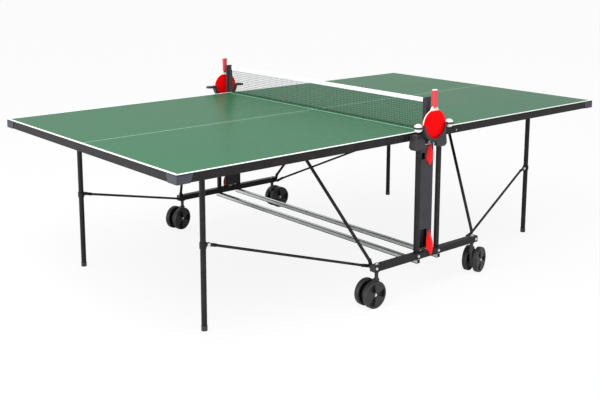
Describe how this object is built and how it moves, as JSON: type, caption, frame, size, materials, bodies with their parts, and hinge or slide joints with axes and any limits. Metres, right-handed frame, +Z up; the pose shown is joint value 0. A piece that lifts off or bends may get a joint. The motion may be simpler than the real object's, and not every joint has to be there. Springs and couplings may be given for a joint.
{
  "type": "table tennis table",
  "caption": "Folding table-tennis table: two green halves with net, fold-away legs, swivel casters, release levers and bat and ball holders.",
  "frame": {"origin": "on the floor, under the middle of the net", "axes": "+X along the table, +Y across it, +Z up"},
  "size_m": [2.74, 1.6768, 0.958],
  "materials": {
    "board": "satin",
    "frame_steel": "satin powder coat",
    "panel_steel": "satin powder coat",
    "zinc_steel": "bright zinc",
    "dark_plastic": "matte",
    "wheel_plastic": "satin",
    "net_yarn": "woven",
    "net_tape": "woven",
    "red_plastic": "gloss",
    "bat_wood": "lacquered",
    "bat_rubber": "matte",
    "ball": "matte"
  },
  "bodies": {
    "undercarriage": {"base_beam_near": "frame_steel", "base_beam_far": "frame_steel", "beam_end_plugs": "dark_plastic", "tie_bars": "zinc_steel", "posts_near": "frame_steel", "posts_far": "frame_steel", "frame_bolts": "zinc_steel", "post_panel_near": "panel_steel", "post_panel_far": "panel_steel", "net_mesh": "net_yarn", "net_tape": "net_tape", "net_post_near": "frame_steel", "net_post_far": "frame_steel", "bat_holder_near": "dark_plastic", "bat_holder_far": "dark_plastic"},
    "slider_left": {"slider_hoods_left": "dark_plastic"},
    "half_left": {"playing_board_left": "board", "side_rails_left": "frame_steel", "end_rails_left": "frame_steel", "cross_rails_left": "frame_steel", "corner_caps_left": "dark_plastic", "hinge_brackets_left": "frame_steel"},
    "legs_left": {"leg_frame_left": "frame_steel", "leg_feet_left": "dark_plastic"},
    "struts_left": {"support_struts_left": "frame_steel"},
    "stays_left": {"leg_stays_left": "frame_steel"},
    "slider_right": {"slider_hoods_right": "dark_plastic"},
    "half_right": {"playing_board_right": "board", "side_rails_right": "frame_steel", "end_rails_right": "frame_steel", "cross_rails_right": "frame_steel", "corner_caps_right": "dark_plastic", "hinge_brackets_right": "frame_steel"},
    "legs_right": {"leg_frame_right": "frame_steel", "leg_feet_right": "dark_plastic"},
    "struts_right": {"support_struts_right": "frame_steel"},
    "stays_right": {"leg_stays_right": "frame_steel"},
    "caster_near_left": {"caster_yoke_near_left": "dark_plastic"},
    "wheel_near_left_inner": {"caster_wheel_near_left_inner": "wheel_plastic"},
    "wheel_near_left_outer": {"caster_wheel_near_left_outer": "wheel_plastic"},
    "caster_near_right": {"caster_yoke_near_right": "dark_plastic"},
    "wheel_near_right_inner": {"caster_wheel_near_right_inner": "wheel_plastic"},
    "wheel_near_right_outer": {"caster_wheel_near_right_outer": "wheel_plastic"},
    "caster_far_left": {"caster_yoke_far_left": "dark_plastic"},
    "wheel_far_left_inner": {"caster_wheel_far_left_inner": "wheel_plastic"},
    "wheel_far_left_outer": {"caster_wheel_far_left_outer": "wheel_plastic"},
    "caster_far_right": {"caster_yoke_far_right": "dark_plastic"},
    "wheel_far_right_inner": {"caster_wheel_far_right_inner": "wheel_plastic"},
    "wheel_far_right_outer": {"caster_wheel_far_right_outer": "wheel_plastic"},
    "upper_lever_near": {"upper_lever_near": "red_plastic"},
    "lower_lever_near": {"lower_lever_near": "red_plastic"},
    "bat_near": {"bat_blade_near": "bat_wood", "bat_rubbers_near": "bat_rubber"},
    "upper_lever_far": {"upper_lever_far": "red_plastic"},
    "lower_lever_far": {"lower_lever_far": "red_plastic"},
    "bat_far": {"bat_blade_far": "bat_wood", "bat_rubbers_far": "bat_rubber"},
    "ball_left": {"ball_left": "ball"},
    "ball_right": {"ball_right": "ball"}
  },
  "joints": [
    {"name": "slider_drop_left", "type": "slide", "parent": "undercarriage", "child": "slider_left", "axis": [0, 0, -1], "range_m": [0, 0.48853]},
    {"name": "half_fold_left", "type": "hinge", "parent": "slider_left", "child": "half_left", "pos_m": [-0.08, 0, 0.742], "axis": [0, 1, 0], "range_deg": [0, 90]},
    {"name": "strut_turn_left", "type": "hinge", "parent": "half_left", "child": "struts_left", "pos_m": [-0.515, 0, 0.715], "axis": [0, -1, 0], "range_deg": [0, 47.69]},
    {"name": "leg_fold_left", "type": "hinge", "parent": "half_left", "child": "legs_left", "pos_m": [-1.1, 0, 0.735], "axis": [0, -1, 0], "range_deg": [0, 72.99]},
    {"name": "stay_turn_left", "type": "hinge", "parent": "legs_left", "child": "stays_left", "pos_m": [-1.076, 0, 0.375], "axis": [0, 1, 0], "range_deg": [0, 70.9]},
    {"name": "slider_drop_right", "type": "slide", "parent": "undercarriage", "child": "slider_right", "axis": [0, 0, -1], "range_m": [0, 0.48853]},
    {"name": "half_fold_right", "type": "hinge", "parent": "slider_right", "child": "half_right", "pos_m": [0.08, 0, 0.742], "axis": [0, -1, 0], "range_deg": [0, 90]},
    {"name": "strut_turn_right", "type": "hinge", "parent": "half_right", "child": "struts_right", "pos_m": [0.515, 0, 0.715], "axis": [0, 1, 0], "range_deg": [0, 47.69]},
    {"name": "leg_fold_right", "type": "hinge", "parent": "half_right", "child": "legs_right", "pos_m": [1.1, 0, 0.735], "axis": [0, 1, 0], "range_deg": [0, 72.99]},
    {"name": "stay_turn_right", "type": "hinge", "parent": "legs_right", "child": "stays_right", "pos_m": [1.076, 0, 0.375], "axis": [0, -1, 0], "range_deg": [0, 70.9]},
    {"name": "caster_swivel_near_left", "type": "hinge", "parent": "undercarriage", "child": "caster_near_left", "pos_m": [-0.332, -0.79, 0.0635], "axis": [0, 0, 1], "continuous": true},
    {"name": "wheel_spin_near_left_inner", "type": "hinge", "parent": "caster_near_left", "child": "wheel_near_left_inner", "pos_m": [-0.37, -0.79, 0.0635], "axis": [0, -1, 0], "continuous": true},
    {"name": "wheel_spin_near_left_outer", "type": "hinge", "parent": "caster_near_left", "child": "wheel_near_left_outer", "pos_m": [-0.37, -0.79, 0.0635], "axis": [0, -1, 0], "continuous": true},
    {"name": "caster_swivel_near_right", "type": "hinge", "parent": "undercarriage", "child": "caster_near_right", "pos_m": [0.332, -0.79, 0.0635], "axis": [0, 0, 1], "continuous": true},
    {"name": "wheel_spin_near_right_inner", "type": "hinge", "parent": "caster_near_right", "child": "wheel_near_right_inner", "pos_m": [0.36814, -0.77826, 0.0635], "axis": [-0.309, 0.9511, 0], "continuous": true},
    {"name": "wheel_spin_near_right_outer", "type": "hinge", "parent": "caster_near_right", "child": "wheel_near_right_outer", "pos_m": [0.36814, -0.77826, 0.0635], "axis": [-0.309, 0.9511, 0], "continuous": true},
    {"name": "caster_swivel_far_left", "type": "hinge", "parent": "undercarriage", "child": "caster_far_left", "pos_m": [-0.332, 0.79, 0.0635], "axis": [0, 0, 1], "continuous": true},
    {"name": "wheel_spin_far_left_inner", "type": "hinge", "parent": "caster_far_left", "child": "wheel_far_left_inner", "pos_m": [-0.36871, 0.78016, 0.0635], "axis": [0.2588, -0.9659, 0], "continuous": true},
    {"name": "wheel_spin_far_left_outer", "type": "hinge", "parent": "caster_far_left", "child": "wheel_far_left_outer", "pos_m": [-0.36871, 0.78016, 0.0635], "axis": [0.2588, -0.9659, 0], "continuous": true},
    {"name": "caster_swivel_far_right", "type": "hinge", "parent": "undercarriage", "child": "caster_far_right", "pos_m": [0.332, 0.79, 0.0635], "axis": [0, 0, 1], "continuous": true},
    {"name": "wheel_spin_far_right_inner", "type": "hinge", "parent": "caster_far_right", "child": "wheel_far_right_inner", "pos_m": [0.37, 0.79, 0.0635], "axis": [0, 1, 0], "continuous": true},
    {"name": "wheel_spin_far_right_outer", "type": "hinge", "parent": "caster_far_right", "child": "wheel_far_right_outer", "pos_m": [0.37, 0.79, 0.0635], "axis": [0, 1, 0], "continuous": true},
    {"name": "upper_lever_pull_near", "type": "hinge", "parent": "undercarriage", "child": "upper_lever_near", "pos_m": [-0.001, -0.7978, 0.698], "axis": [-1, 0, 0], "range_deg": [0, 25]},
    {"name": "lower_lever_pull_near", "type": "hinge", "parent": "undercarriage", "child": "lower_lever_near", "pos_m": [0.004, -0.7978, 0.282], "axis": [-1, 0, 0], "range_deg": [0, 25]},
    {"name": "bat_lift_near", "type": "slide", "parent": "undercarriage", "child": "bat_near", "axis": [0, 0, 1], "range_m": [0, 0.12]},
    {"name": "upper_lever_pull_far", "type": "hinge", "parent": "undercarriage", "child": "upper_lever_far", "pos_m": [0.001, 0.7978, 0.698], "axis": [1, 0, 0], "range_deg": [0, 25]},
    {"name": "lower_lever_pull_far", "type": "hinge", "parent": "undercarriage", "child": "lower_lever_far", "pos_m": [-0.004, 0.7978, 0.282], "axis": [1, 0, 0], "range_deg": [0, 25]},
    {"name": "bat_lift_far", "type": "slide", "parent": "undercarriage", "child": "bat_far", "axis": [0, 0, 1], "range_m": [0, 0.12]},
    {"name": "ball_lift_left", "type": "slide", "parent": "undercarriage", "child": "ball_left", "axis": [0, 0, 1], "range_m": [0, 0.05]},
    {"name": "ball_lift_right", "type": "slide", "parent": "undercarriage", "child": "ball_right", "axis": [0, 0, 1], "range_m": [0, 0.05]}
  ],
  "couplings": [
    {"joint": "slider_drop_left", "follows": "half_fold_left", "m_per_rad": 0.31088},
    {"joint": "strut_turn_left", "follows": "half_fold_left", "ratio": 0.52961},
    {"joint": "leg_fold_left", "follows": "half_fold_left", "ratio": 0.81078},
    {"joint": "stay_turn_left", "follows": "half_fold_left", "ratio": 0.7876},
    {"joint": "slider_drop_right", "follows": "half_fold_right", "m_per_rad": 0.31088},
    {"joint": "strut_turn_right", "follows": "half_fold_right", "ratio": 0.52961},
    {"joint": "leg_fold_right", "follows": "half_fold_right", "ratio": 0.81078},
    {"joint": "stay_turn_right", "follows": "half_fold_right", "ratio": 0.7876}
  ]
}
